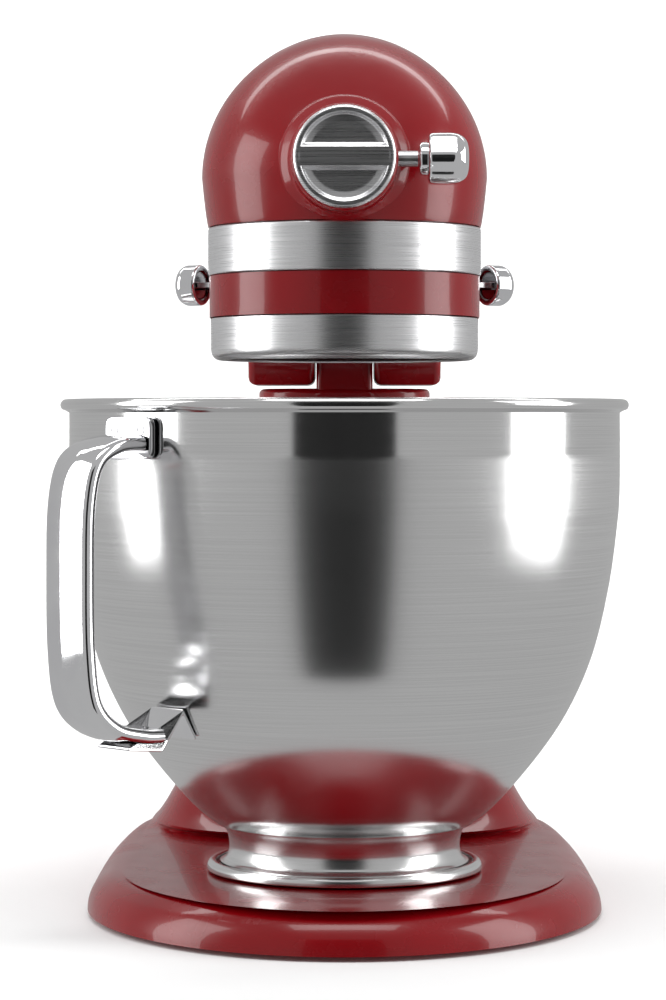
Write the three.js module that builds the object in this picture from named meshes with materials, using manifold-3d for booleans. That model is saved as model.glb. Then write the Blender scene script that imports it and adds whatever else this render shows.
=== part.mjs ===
// Tilt-head stand mixer with a steel bowl, in millimetres.
// +Z is up, the mixer faces -Y, and the worktop is the plane z = 0.
// Everything is built about the bowl's vertical axis, and the last lines move the whole
// mixer back so that the middle of its footprint lies on the origin.
import * as THREE from 'three';
import { mergeVertices } from 'three/addons/utils/BufferGeometryUtils.js';
import Module from 'manifold-3d';

const wasm = await Module();
wasm.setup();

// ---- driving dimensions -------------------------------------------------------------
const BOWL_AXIS_Y = -66.5; // where the bowl's axis ends up, so that the footprint is centred
const GAP = 0.3; // clearance between pieces that touch

const FOOT_HEIGHT = 3;
const BASE_BOTTOM = 2; // underside of the base casting's rim
const BASE_TOP = 18; // the flat deck round the bowl
const BASE_NECK_TOP = 36; // joint between the base and the pedestal
const BASE_HALF_WIDTH = 103;
const BASE_WIDEST_Y = 15;
const BASE_FRONT = 122; // from the widest line to the front edge
const BASE_REAR = 230; // from the widest line to the back edge
const CASTING_WALL = 4;

const PEDESTAL_TOP = 211;
const TONGUE_HALF_WIDTH = 12.3;
const HINGE = new THREE.Vector3(0, 165, 228);
const HINGE_PIN_RADIUS = 5;

const RING_RADIUS = 52.8; // trim ring round the planetary
const RING_BOTTOM = 220.2;
const RING_TOP = 236.8;
const BAND_BOTTOM = 253.2; // trim band round the head
const BAND_TOP = 272.6;
const HEAD_HALF_WIDTH = 53.7;
const HEAD_PARTING = 262.5; // upper and lower housings meet behind the band
const HEAD_LENGTH_BEHIND = 222; // from the bowl's axis to the tail
const DOME_CENTRE = 291.8;
const DOME_HALF_WIDTH = 56.3;
const DOME_HEIGHT = 61.7;
const SHELL_WALL = 3;
const REAR_COVER_Y = 168;

const LEVER_Y = 48;
const LEVER_Z = 252.2; // middle of the lever strips, just under the trim band
const SPEED_TRAVEL = 35;
const LOCK_TRAVEL = 8;

const HUB_Z = 294.7;
const HUB_RADIUS = 20.2;
const HUB_FRONT = -70;
const THUMBSCREW_Y = -60;
const BRUSH_Y = 127;
const GLAND_Y = 219.2; // cord gland, low in the tail
const GLAND_Z = 247.6;

const RIM_RADIUS = 112.1;
const RIM_Z = 202.5;
const BOWL_RADIUS = 108.6;
const BOWL_WALL = 1.4;
const BOWL_BOTTOM = 37.5;
const CLAMP_RADIUS = 54.5;
const HANDLE_AZIMUTH = THREE.MathUtils.degToRad(224); // about +Z from +X: front left

const GEAR_MODULE = 1.25;
const CENTRE_TEETH = 48;
const BEVEL_TEETH = 24; // both the worm shaft's pinion and the hub's gear
const WORM_WHEEL_TEETH = 28;
const WORM_RADIUS = 6.5;
const RING_TEETH = 60;
const BEATER_TEETH = 18;
const pitchRadius = (teeth) => teeth * GEAR_MODULE / 2;
const MOTOR_Z = HUB_Z + pitchRadius(WORM_WHEEL_TEETH) + WORM_RADIUS;
const BEATER_OFFSET = pitchRadius(RING_TEETH) - pitchRadius(BEATER_TEETH);

// ---- materials ----------------------------------------------------------------------
const finish = (color, roughness, metalness) => ({ color, roughness, metalness });
const ENAMEL = finish(0xa30a12, 0.18, 0.1);
const SATIN_TRIM = finish(0xb9b8b4, 0.35, 0.9);
const CHROME = finish(0xd9d9dc, 0.08, 1);
const BOWL_STEEL = finish(0xc4c2bd, 0.3, 1);
const CAST_METAL = finish(0x8f9092, 0.5, 0.8);
const GEAR_STEEL = finish(0x77787a, 0.4, 0.9);
const BRONZE = finish(0xa9772f, 0.4, 0.8);
const LAMINATION = finish(0x4c4d50, 0.6, 0.7);
const COPPER = finish(0xb4693a, 0.4, 0.9);
const BLACK_PLASTIC = finish(0x1b1b1c, 0.6, 0);
const BOARD_GREEN = finish(0x23543a, 0.7, 0);
const CARBON = finish(0x2a2a2b, 0.8, 0);
const RUBBER = finish(0x2b2b2d, 0.9, 0);

// ---- general helpers ----------------------------------------------------------------
const mixer = new THREE.Group();

function addPart(name, geometry, look, parent = mixer) {
  const mesh = new THREE.Mesh(geometry, new THREE.MeshStandardMaterial(look));
  mesh.name = name;
  parent.add(mesh);
  return mesh;
}

function signedVolume(geometry) {
  const flat = geometry.index ? geometry.toNonIndexed() : geometry;
  const at = flat.attributes.position;
  const a = new THREE.Vector3();
  const b = new THREE.Vector3();
  const c = new THREE.Vector3();
  let volume = 0;
  for (let i = 0; i < at.count; i += 3) {
    a.fromBufferAttribute(at, i);
    b.fromBufferAttribute(at, i + 1);
    c.fromBufferAttribute(at, i + 2);
    volume += a.dot(b.cross(c)) / 6;
  }
  return volume;
}

// Merges shared corners and turns the faces outwards.
function closed(geometry) {
  const bare = geometry.clone();
  bare.deleteAttribute('normal');
  bare.deleteAttribute('uv');
  const merged = mergeVertices(bare, 1e-3);
  const old = merged.index.array;
  const outward = signedVolume(merged) > 0;
  const kept = [];
  for (let i = 0; i < old.length; i += 3) {
    const [a, b, c] = outward ? [old[i], old[i + 1], old[i + 2]] : [old[i], old[i + 2], old[i + 1]];
    if (a !== b && b !== c && c !== a) {
      kept.push(a, b, c);
    }
  }
  merged.setIndex(kept);
  return merged;
}

function toSolid(geometry) {
  const mesh = closed(geometry);
  const vertProperties = new Float32Array(mesh.attributes.position.array);
  const triVerts = new Uint32Array(mesh.index.array);
  return new wasm.Manifold(new wasm.Mesh({ numProp: 3, vertProperties, triVerts }));
}

function toGeometry(solid) {
  const { vertProperties, triVerts } = solid.getMesh();
  const geometry = new THREE.BufferGeometry();
  geometry.setAttribute('position', new THREE.BufferAttribute(new Float32Array(vertProperties), 3));
  geometry.setIndex(new THREE.BufferAttribute(new Uint32Array(triVerts), 1));
  geometry.computeVertexNormals();
  return geometry;
}

const combine = (operation) => (first, ...others) => {
  let solid = toSolid(first);
  for (const other of others) {
    solid = solid[operation](toSolid(other));
  }
  return toGeometry(solid);
};
const cut = combine('subtract');
const join = combine('add');
const common = combine('intersect');

function at(geometry, x, y, z) {
  return geometry.clone().translate(x, y, z);
}

// A solid of revolution about +Z; the profile is a list of [radius, height].
function turned(profile, segments = 32) {
  const points = profile.map(([r, z]) => new THREE.Vector2(r, z));
  return closed(new THREE.LatheGeometry(points, segments).rotateX(Math.PI / 2));
}

const alongX = (geometry) => geometry.clone().rotateY(Math.PI / 2); // +Z becomes +X
const alongY = (geometry) => geometry.clone().rotateX(-Math.PI / 2); // +Z becomes +Y

// A rod about +Z from one height to another.
function rod(radius, low, high, segments = 24) {
  return turned([[0, low], [radius, low], [radius, high], [0, high]], segments);
}

function tube(outer, inner, low, high, segments = 32) {
  return turned([[inner, low], [outer, low], [outer, high], [inner, high], [inner, low]], segments);
}

// A box given by its lowest and highest corners.
function block([x0, y0, z0], [x1, y1, z1]) {
  const box = new THREE.BoxGeometry(x1 - x0, y1 - y0, z1 - z0);
  return box.translate((x0 + x1) / 2, (y0 + y1) / 2, (z0 + z1) / 2);
}

// A prism on an outline in the YZ plane, from x0 to x1.
function sideProfile(points, x0, x1) {
  const shape = new THREE.Shape(points.map(([y, z]) => new THREE.Vector2(y, z)));
  const prism = new THREE.ExtrudeGeometry(shape, { depth: x1 - x0, bevelEnabled: false });
  const axes = new THREE.Matrix4().makeBasis(
    new THREE.Vector3(0, 1, 0), new THREE.Vector3(0, 0, 1), new THREE.Vector3(1, 0, 0));
  return prism.applyMatrix4(axes).translate(x0, 0, 0);
}

// Joins rings of equally many points, one after another, and closes both ends.
function loft(rings) {
  const count = rings[0].length;
  const positions = rings.flat().flatMap((p) => [p.x, p.y, p.z]);
  const indices = [];
  for (let r = 0; r + 1 < rings.length; r++) {
    for (let i = 0; i < count; i++) {
      const a = r * count + i;
      const b = r * count + (i + 1) % count;
      indices.push(a, b, a + count, b, b + count, a + count);
    }
  }
  const middle = (ring) => ring.reduce((sum, p) => sum.add(p), new THREE.Vector3()).divideScalar(count);
  const ends = [[rings[0], 0, true], [rings.at(-1), (rings.length - 1) * count, false]];
  for (const [ring, start, first] of ends) {
    const centre = positions.length / 3;
    const m = middle(ring);
    positions.push(m.x, m.y, m.z);
    for (let i = 0; i < count; i++) {
      const pair = [start + i, start + (i + 1) % count];
      indices.push(centre, ...(first ? pair.reverse() : pair));
    }
  }
  const geometry = new THREE.BufferGeometry();
  geometry.setAttribute('position', new THREE.Float32BufferAttribute(positions, 3));
  geometry.setIndex(indices);
  return closed(geometry);
}

const angles = (count) => Array.from({ length: count }, (_, i) => 2 * Math.PI * i / count);
const power = (value, exponent) => Math.sign(value) * Math.abs(value) ** exponent;
const mix = (a, b, t) => a + (b - a) * t;

// ---- base and pedestal --------------------------------------------------------------
// Plan of the base at one height: two half-ellipses, with the rear one drawn in.
function basePlan(z, inset, count = 40) {
  return angles(count).map((a) => {
    const back = Math.max(0, Math.sin(a));
    const roll = inset * (1 - 0.5 * Math.min(1, 2.2 * back));
    const reach = (back > 0 ? BASE_REAR : BASE_FRONT) - roll;
    const corner = back > 0 ? 0.65 : 1;
    const x = (BASE_HALF_WIDTH - roll) * power(Math.cos(a), corner) * (1 - 0.06 * back * back);
    return new THREE.Vector3(x, BASE_WIDEST_Y + reach * power(Math.sin(a), corner), z);
  });
}
function columnPlan(z, halfWidth, front, rear, count = 40) {
  const corner = 0.75;
  const middle = (front + rear) / 2;
  const depth = (rear - front) / 2;
  return angles(count).map((a) => new THREE.Vector3(
    halfWidth * power(Math.cos(a), corner), middle + depth * power(Math.sin(a), corner), z));
}

function columnRing(z, inset = 0) {
  const fall = (PEDESTAL_TOP - z) / (PEDESTAL_TOP - BASE_NECK_TOP);
  const halfWidth = 38 + 36.5 * fall ** 1.9;
  const front = 121 - 35 * fall ** 1.4;
  const rear = 186 + 22 * fall ** 1.8;
  return columnPlan(z, halfWidth - inset, front + inset, rear - inset);
}

const BOLT_PLACES = [[-34, 112], [34, 112], [-34, 180], [34, 180]];
const FOOT_PLACES = [[-70, -40], [70, -40], [0, -84], [-44, 202], [44, 202]];
const CLAMP_SCREW_ANGLES = [Math.PI / 2, Math.PI * 7 / 6, Math.PI * 11 / 6];
const CLAMP_SCREW_CIRCLE = 24;

function baseCasting() {
  const outer = loft([
    basePlan(BASE_BOTTOM, 0), basePlan(8, 1.2), basePlan(13, 4.5), basePlan(16.5, 9.5),
    basePlan(BASE_TOP, 16),
    columnPlan(BASE_TOP + 0.6, 86, 64, 226), columnPlan(22, 83, 72, 222),
    columnPlan(28, 79, 80, 215), columnPlan(BASE_NECK_TOP, 74.5, 86, 208),
  ]);
  const hollow = loft([
    basePlan(BASE_BOTTOM - 1, CASTING_WALL), basePlan(9, CASTING_WALL + 2), basePlan(13.5, 14)]);
  const boltHoles = BOLT_PLACES.map(([x, y]) => at(rod(4.3, 0, 60, 8), x, y, 0));
  const clampHoles = CLAMP_SCREW_ANGLES.map((a) => at(
    rod(2.3, 10, 30, 12), CLAMP_SCREW_CIRCLE * Math.cos(a), CLAMP_SCREW_CIRCLE * Math.sin(a), 0));
  const footBosses = FOOT_PLACES.map(([x, y]) => at(rod(12, BASE_BOTTOM + 2, 15, 10), x, y, 0));
  return cut(join(cut(outer, hollow), ...footBosses), ...boltHoles, ...clampHoles);
}

function rubberFoot() {
  return turned([[0, 0], [9.5, 0], [10.5, 1], [10.5, FOOT_HEIGHT + 0.7], [0, FOOT_HEIGHT + 0.7]], 16);
}

function bolt(headRadius, headHeight, shankRadius, length) {
  return turned([
    [0, 0], [headRadius, 0], [headRadius, headHeight], [shankRadius, headHeight],
    [shankRadius, length], [0, length]], 10);
}

function pedestal() {
  const levels = [BASE_NECK_TOP + GAP, 65, 100, 150, 205];
  const column = loft([...levels.map((z) => columnRing(z)), columnRing(PEDESTAL_TOP, 2)]);
  const bore = loft([BASE_NECK_TOP - 1, 60, 120, 170].map((z) => columnRing(Math.max(z, 36), 9)
    .map((p) => p.setZ(z))));
  const tongue = sideProfile([
    [122, 190], [122, 239], [130, 243], [165, 243], [176, 238], [180, 228], [180, 190]],
    -TONGUE_HALF_WIDTH, TONGUE_HALF_WIDTH);
  const shoulderSlope = [[165, 210.5], [200, 190], [200, 260], [165, 260]];
  const slopes = [[-60, -TONGUE_HALF_WIDTH - 0.01], [TONGUE_HALF_WIDTH + 0.01, 60]];
  const pinBore = at(alongX(rod(HINGE_PIN_RADIUS + GAP, -60, 60, 20)), 0, HINGE.y, HINGE.z);
  const bosses = BOLT_PLACES.map(([x, y]) => at(rod(8, BASE_NECK_TOP + GAP, 75, 8), x, y, 0));
  const boltHoles = BOLT_PLACES.map(([x, y]) => at(rod(3.4, 30, 66, 8), x, y, 0));
  const lockNotch = block([-4.4, 118, 231], [4.4, 133, 236]);
  const screwHole = at(rod(2.8, 215, 260, 12), 0, 140, 0);
  return cut(
    join(cut(column, bore), tongue, ...bosses),
    ...slopes.map(([x0, x1]) => sideProfile(shoulderSlope, x0, x1)),
    pinBore, ...boltHoles, lockNotch, screwHole);
}

function clampPlate() {
  const low = BASE_TOP + GAP + 0.6;
  const pad = 49.5; // the bowl's foot stands on this pad, clear of the lugs above
  const middle = 43; // inside the foot, the pad is a hair higher
  const plate = turned([
    [0, low], [CLAMP_RADIUS - 0.8, low], [CLAMP_RADIUS, low + 0.8], [CLAMP_RADIUS - 0.6, low + 3],
    [CLAMP_RADIUS - 1.4, low + 4], [51, low + 4], [51, low + 1], [pad, low + 1],
    [pad, low + 1.3], [middle, low + 1.3], [middle, low + 1.4], [0, low + 1.4]], 30);
  const holes = CLAMP_SCREW_ANGLES.map((a) => at(
    rod(2.3, 10, 30, 12), CLAMP_SCREW_CIRCLE * Math.cos(a), CLAMP_SCREW_CIRCLE * Math.sin(a), 0));
  const lugs = [0, 1, 2, 3].map((i) => block([49.7, -5.5, low + 2.1], [52.4, 5.5, low + 3.5])
    .rotateZ(i * Math.PI / 2 + Math.PI / 4));
  return cut(join(plate, ...lugs), ...holes);
}

function buildBase() {
  addPart('base_casting', baseCasting(), ENAMEL);
  addPart('pedestal', pedestal(), ENAMEL);
  BOLT_PLACES.forEach(([x, y], i) => {
    const mesh = addPart(`column_bolt_${i + 1}`, bolt(6.5, 5, 3, 46), GEAR_STEEL);
    mesh.position.set(x, y, 8);
  });
  FOOT_PLACES.forEach(([x, y], i) => {
    addPart(`rubber_foot_${i + 1}`, rubberFoot(), RUBBER).position.set(x, y, 0);
  });
  addPart('bowl_clamp_plate', clampPlate(), SATIN_TRIM);
  CLAMP_SCREW_ANGLES.forEach((a, i) => {
    const screw = turned([[0, 0], [2, 0], [2, 8.5], [4, 8.5], [4, 10.5], [0, 10.5]], 12);
    const mesh = addPart(`clamp_screw_${i + 1}`, screw, GEAR_STEEL);
    const place = [CLAMP_SCREW_CIRCLE * Math.cos(a), CLAMP_SCREW_CIRCLE * Math.sin(a)];
    mesh.position.set(...place, BASE_TOP + 2 - 8.5 + 0.7);
  });
  const pin = at(alongX(rod(HINGE_PIN_RADIUS, -40, 40, 20)), 0, HINGE.y, HINGE.z);
  addPart('hinge_pin', pin, GEAR_STEEL);
  const screw = turned([[0, 0], [2.5, 0], [2.5, 23], [4.2, 23], [4.2, 25.4], [0, 25.4]], 16);
  const slot = block([-5, -0.6, 24.2], [5, 0.6, 27]);
  addPart('height_adjusting_screw', cut(screw, slot), GEAR_STEEL).position.set(0, 140, 221.5);
}

buildBase();

// ---- head housings ------------------------------------------------------------------
// Plan of the head: round at the front about the bowl's axis, straight, then a long round
// tail. shrink runs from 1 at the widest line to 0 on the ridge.
function headPlan(z, halfWidth, shrink = 1, count = 36) {
  const half = halfWidth * shrink;
  const inset = HEAD_HALF_WIDTH - halfWidth;
  const length = HEAD_LENGTH_BEHIND * (0.45 + 0.55 * shrink) - inset;
  return angles(count).map((a) => {
    const s = Math.sin(a);
    if (s <= 0) {
      return new THREE.Vector3(half * Math.cos(a), half * s, z);
    }
    const narrowing = Math.sqrt(Math.max(0, 1 - s ** 3.2));
    return new THREE.Vector3(half * narrowing * Math.sign(Math.cos(a) || 1), length * s, z);
  });
}

// The ridge falls towards the nose and towards the tail.
function ridgeFactor(y) {
  const nose = Math.max(0, 50 - y) ** 2 / 29000;
  const tail = Math.max(0, y - 130) ** 2 / 24000;
  return 1 - nose - tail;
}

function dome(offset, low) {
  const rings = [];
  if (low < DOME_CENTRE) {
    const steps = 2;
    for (let i = 0; i < steps; i++) {
      const z = mix(low, DOME_CENTRE, i / steps);
      const climb = Math.max(0, (z - BAND_TOP) / (DOME_CENTRE - BAND_TOP));
      const bulge = (DOME_HALF_WIDTH - HEAD_HALF_WIDTH) * climb ** 0.7;
      rings.push(headPlan(z, HEAD_HALF_WIDTH + bulge - offset));
    }
  }
  const domeSteps = 7;
  for (let i = 0; i <= domeSteps; i++) {
    const lift = THREE.MathUtils.degToRad(86) * i / domeSteps;
    const ring = headPlan(0, DOME_HALF_WIDTH - offset, Math.cos(lift));
    const height = (DOME_HEIGHT - offset) * Math.sin(lift);
    rings.push(ring.map((p) => p.setZ(DOME_CENTRE + height * ridgeFactor(p.y))));
  }
  return loft(rings);
}

const skirt = (low, high, halfWidth) => loft([headPlan(low, halfWidth), headPlan(high, halfWidth)]);
const BAND_SEAT = HEAD_HALF_WIDTH - 1.6; // the band lies in a groove round both housings
const behindCover = () => block([-80, REAR_COVER_Y, 200], [80, 300, 400]);

function upperOuter() {
  return join(dome(0, BAND_TOP), skirt(HEAD_PARTING, BAND_TOP + 0.5, BAND_SEAT));
}

function upperInner() {
  return join(dome(SHELL_WALL, BAND_TOP), skirt(HEAD_PARTING - 5, BAND_TOP + 1, BAND_SEAT - SHELL_WALL));
}

function headUpperShell() {
  const hub = at(alongY(rod(HUB_RADIUS, 0, 30, 28)), 0, HUB_FRONT, HUB_Z);
  const hubBore = at(alongY(rod(13, 0, 45, 24)), 0, HUB_FRONT - 1, HUB_Z);
  const screwBore = at(alongX(rod(3.4, 8, 30, 16)), 0, THUMBSCREW_Y, HUB_Z);
  const brushBore = at(alongX(rod(7.3, -70, 70, 20)), 0, BRUSH_Y, MOTOR_Z);
  const rearwards = block([-80, REAR_COVER_Y - 0.15, 200], [80, 300, 400]);
  const outer = join(upperOuter(), hub);
  return cut(outer, upperInner(), hubBore, screwBore, brushBore, rearwards);
}

function rearCover() {
  const screwBore = at(alongY(rod(2.3, 190, 240, 12)), 0, 0, 300);
  const post = at(alongY(rod(6, REAR_COVER_Y + 2, REAR_COVER_Y + 70, 16)), 0, 0, 300);
  const shell = common(cut(upperOuter(), upperInner()), behindCover());
  const inner = common(upperOuter(), post);
  return cut(join(shell, inner), screwBore);
}

// Cheeks that straddle the pedestal's tongue, rounded behind the pin so that they clear
// the shoulders when the head tips back.
function cheek(side) {
  const arc = [];
  for (let i = 0; i <= 5; i++) {
    const a = -Math.PI / 2 + (Math.PI / 2) * i / 5;
    arc.push([HINGE.y + 16 * Math.cos(a), HINGE.z + 16 * Math.sin(a)]);
  }
  const outline = [[118, 240.7], [118, 220], [124, 212], ...arc, [203, 240.7]];
  const inner = TONGUE_HALF_WIDTH; // the slot trims it
  const [x0, x1] = side < 0 ? [-42, -inner] : [inner, 42];
  return sideProfile(outline, x0, x1);
}

function headLowerShell() {
  const walls = loft([
    headPlan(224, HEAD_HALF_WIDTH - 9), headPlan(226, HEAD_HALF_WIDTH - 4),
    headPlan(231, HEAD_HALF_WIDTH - 0.8), headPlan(236, HEAD_HALF_WIDTH - 0.3),
    headPlan(BAND_BOTTOM, HEAD_HALF_WIDTH - 0.3)]);
  const lip = skirt(BAND_BOTTOM - 1, HEAD_PARTING - GAP, BAND_SEAT);
  const hollow = skirt(BAND_BOTTOM - 1.7, HEAD_PARTING + 5, BAND_SEAT - SHELL_WALL);
  const rearHollow = cut(
    loft([headPlan(228, HEAD_HALF_WIDTH - 12), headPlan(236, HEAD_HALF_WIDTH - 4),
      headPlan(256.4, HEAD_HALF_WIDTH - 5.2)]),
    rod(RING_RADIUS + 3, 200, 258.3, 28));
  const slotFrom = 117.4;
  const slot = block([-TONGUE_HALF_WIDTH - 0.7, slotFrom, 200], [TONGUE_HALF_WIDTH + 0.7, 201, 255.3]);
  const pinBore = at(alongX(rod(HINGE_PIN_RADIUS + GAP, -60, 60, 20)), 0, HINGE.y, HINGE.z);
  const ringSeat = rod(RING_RADIUS + 1.7, 200, RING_TOP + GAP, 36);
  const rearTrim = sideProfile([[181, 200], [181, 228], [205, 238], [260, 243], [260, 200]], -80, 80);
  const planetaryBay = rod(45.7, 200, 250, 32);
  const shaftBore = rod(11 + GAP, 240, 260, 20);
  const glandBore = at(alongY(rod(3.1 + GAP, 0, 60, 16)), 0, 190, GLAND_Z);
  const slotLow = LEVER_Z - 1.6;
  const speedSlot = block([44, LEVER_Y - 5, slotLow], [60, LEVER_Y + SPEED_TRAVEL + 5, 255]);
  const lockSlot = block([-60, LEVER_Y - 5, slotLow], [-44, LEVER_Y + LOCK_TRAVEL + 5, 255]);
  const body = cut(join(walls, lip), hollow, rearHollow, rearTrim);
  return cut(
    join(body, cheek(-1), cheek(1)),
    ringSeat, planetaryBay, shaftBore, slot, pinBore, speedSlot, lockSlot, glandBore);
}

function trimBand() {
  const top = BAND_TOP - GAP;
  const low = BAND_BOTTOM + GAP;
  const outer = loft([
    headPlan(low, HEAD_HALF_WIDTH - 0.5), headPlan(low + 0.8, HEAD_HALF_WIDTH + 0.2),
    headPlan(top - 0.8, HEAD_HALF_WIDTH + 0.2), headPlan(top, HEAD_HALF_WIDTH - 0.5)]);
  return cut(outer, skirt(low - 1, top + 1, BAND_SEAT + GAP));
}

function trimRing() {
  const wall = 2.2;
  return turned([
    [RING_RADIUS - wall - 3, RING_BOTTOM + 0.6], [RING_RADIUS - 3, RING_BOTTOM],
    [RING_RADIUS - 0.8, RING_BOTTOM + 1.2], [RING_RADIUS, RING_BOTTOM + 3.5],
    [RING_RADIUS, RING_TOP], [RING_RADIUS - wall, RING_TOP],
    [RING_RADIUS - wall, RING_BOTTOM + 4], [RING_RADIUS - wall - 3, RING_BOTTOM + 0.6]], 40);
}


function buildHousings(head) {
  addPart('head_upper_shell', headUpperShell(), ENAMEL, head);
  addPart('head_lower_shell', headLowerShell(), ENAMEL, head);
  addPart('rear_cover', rearCover(), ENAMEL, head);
  addPart('upper_trim_band', trimBand(), SATIN_TRIM, head);
  addPart('lower_trim_ring', trimRing(), SATIN_TRIM, head);
  const gland = turned([
    [2.4, -7], [4.6, -7], [4.6, -5.5], [3.1, -5.5], [3.1, 3.2], [4.6, 3.2], [4.2, 6], [2.4, 6],
    [2.4, -7]], 12);
  addPart('cord_gland', alongY(gland), RUBBER, head).position.set(0, GLAND_Y, GLAND_Z);
}

const head = new THREE.Group();
mixer.add(head);
buildHousings(head);

// ---- gears --------------------------------------------------------------------------
// Outline of a toothed wheel: rise and depth are the tooth's height above and below the
// pitch circle, and the shares are the tooth's width as a share of one pitch.
const TOOTH = { rise: 0.85, depth: 1.3, tipShare: 0.18, rootShare: 0.5 };

function toothedOutline(teeth, radius, rise, depth, turn = 0, inward = false) {
  const pitch = 2 * Math.PI / teeth;
  const sense = inward ? -1 : 1;
  const points = [];
  for (let i = 0; i < teeth; i++) {
    const a = i * pitch + turn;
    const root = radius - sense * depth;
    const tip = radius + sense * rise;
    const corners = [
      [-TOOTH.rootShare, root], [-TOOTH.tipShare, tip], [TOOTH.tipShare, tip], [TOOTH.rootShare, root]];
    for (const [share, r] of corners) {
      const angle = a + share * pitch / 2;
      points.push(new THREE.Vector2(r * Math.cos(angle), r * Math.sin(angle)));
    }
  }
  return points;
}

function spurGear(teeth, width, bore, turn = 0) {
  const shape = new THREE.Shape(
    toothedOutline(teeth, pitchRadius(teeth), TOOTH.rise, TOOTH.depth, turn));
  shape.holes.push(new THREE.Path().absarc(0, 0, bore, 0, 2 * Math.PI, true));
  return new THREE.ExtrudeGeometry(shape, { depth: width, bevelEnabled: false, curveSegments: 6 });
}

function internalGear(teeth, width, outer) {
  const shape = new THREE.Shape().absarc(0, 0, outer, 0, 2 * Math.PI, false);
  const holes = toothedOutline(teeth, pitchRadius(teeth), TOOTH.rise, TOOTH.depth, 0, true);
  shape.holes.push(new THREE.Path(holes.reverse()));
  return new THREE.ExtrudeGeometry(shape, { depth: width, bevelEnabled: false, curveSegments: 14 });
}

// A bevel gear whose axis is +Z and whose apex is the origin; its large end is at
// z = -distance. The teeth shrink towards the apex.
function bevelTeeth(teeth, distance, faceShare, turn = 0) {
  const radius = pitchRadius(teeth);
  const lean = Math.cos(Math.atan2(radius, distance));
  const outline = toothedOutline(teeth, radius, 0.8 * TOOTH.rise / lean, TOOTH.depth / lean, turn);
  return loft([1, 1 - faceShare].map((scale) => outline.map(
    (p) => new THREE.Vector3(p.x * scale, p.y * scale, -distance * scale))));
}

// A single-start worm about +Z: each cross-section is a round root with one lobe, turned a
// little further than the last.
function wormThread(length) {
  const lead = Math.PI * GEAR_MODULE;
  const perTurn = 8;
  const sides = 10;
  const steps = Math.round(length / lead * perTurn);
  const rings = Array.from({ length: steps + 1 }, (_, k) => {
    const z = -length / 2 + length * k / steps;
    return angles(sides).map((a) => {
      // distance along the axis from the thread's crest, as a share of the lead
      const phase = (((a + Math.PI / 2) / (2 * Math.PI) - z / lead) % 1 + 2) % 1;
      const offCrest = Math.min(phase, 1 - phase);
      const lobe = THREE.MathUtils.clamp((0.27 - offCrest) / 0.15, 0, 1);
      const r = WORM_RADIUS - TOOTH.depth + (TOOTH.rise + TOOTH.depth) * lobe;
      return new THREE.Vector3(r * Math.cos(a), r * Math.sin(a), z);
    });
  });
  return loft(rings);
}

// ---- drive train --------------------------------------------------------------------
const CENTRE_DISTANCE = pitchRadius(BEVEL_TEETH); // from the bevels' apex down to the gear
const BEVEL_DISTANCE = pitchRadius(CENTRE_TEETH);
const FACE_SHARE = 0.2;
const HALF_PITCH = Math.PI / BEVEL_TEETH;

function buildPlanetary(head) {
  const deck = HUB_Z - CENTRE_DISTANCE;
  const crown = at(bevelTeeth(CENTRE_TEETH, CENTRE_DISTANCE, FACE_SHARE), 0, 0, HUB_Z);
  const dish = turned([[4.2, 262], [25.5, 262], [25.5, deck + 0.6], [21.5, deck + 0.6],
    [21.5, 268], [9, 268], [9, 274], [4.2, 274], [4.2, 262]], 24);
  const bowlOut = rod(21.4, 268, 300, 24);
  const gear = join(cut(crown, bowlOut), dish);
  addPart('center_bevel_gear', gear, GEAR_STEEL, head);
  addPart('center_shaft', turned([[0, 232], [7, 232], [7, 261], [3.9, 261.4], [3.9, 276], [0, 276]], 20),
    GEAR_STEEL, head);
  addPart('center_shaft_bearing', tube(11, 7.3, 250.8, 260.5, 20), BRONZE, head);
  const carrier = turned([
    [7.3, 223.5], [30, 222.2], [43, 225], [44.5, 229], [44.5, 238], [42, 239.5], [7.3, 239.5],
    [7.3, 223.5]], 28);
  const beaterBore = at(rod(6.3, 200, 260, 20), BEATER_OFFSET, 0, 0);
  const counterweight = at(rod(9, 215, 236.5, 20), -BEATER_OFFSET, 0, 0);
  addPart('planetary_housing', cut(join(carrier, common(carrier, counterweight)), beaterBore),
    CAST_METAL, head);
  const shaft = turned([[0, 222.6], [5.4, 222.6], [6, 223.2], [6, 240.2], [4, 240.2], [4, 249.2],
    [0, 249.2]], 20);
  addPart('beater_shaft', at(shaft, BEATER_OFFSET, 0, 0), GEAR_STEEL, head);
  const pinion = spurGear(BEATER_TEETH, 7, 4 + GAP, Math.PI / BEATER_TEETH);
  addPart('beater_pinion', at(pinion, BEATER_OFFSET, 0, 241), GEAR_STEEL, head);
  addPart('internal_ring_gear', at(internalGear(RING_TEETH, 7.5, 45.2), 0, 0, 240.8), GEAR_STEEL, head);
}

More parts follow.
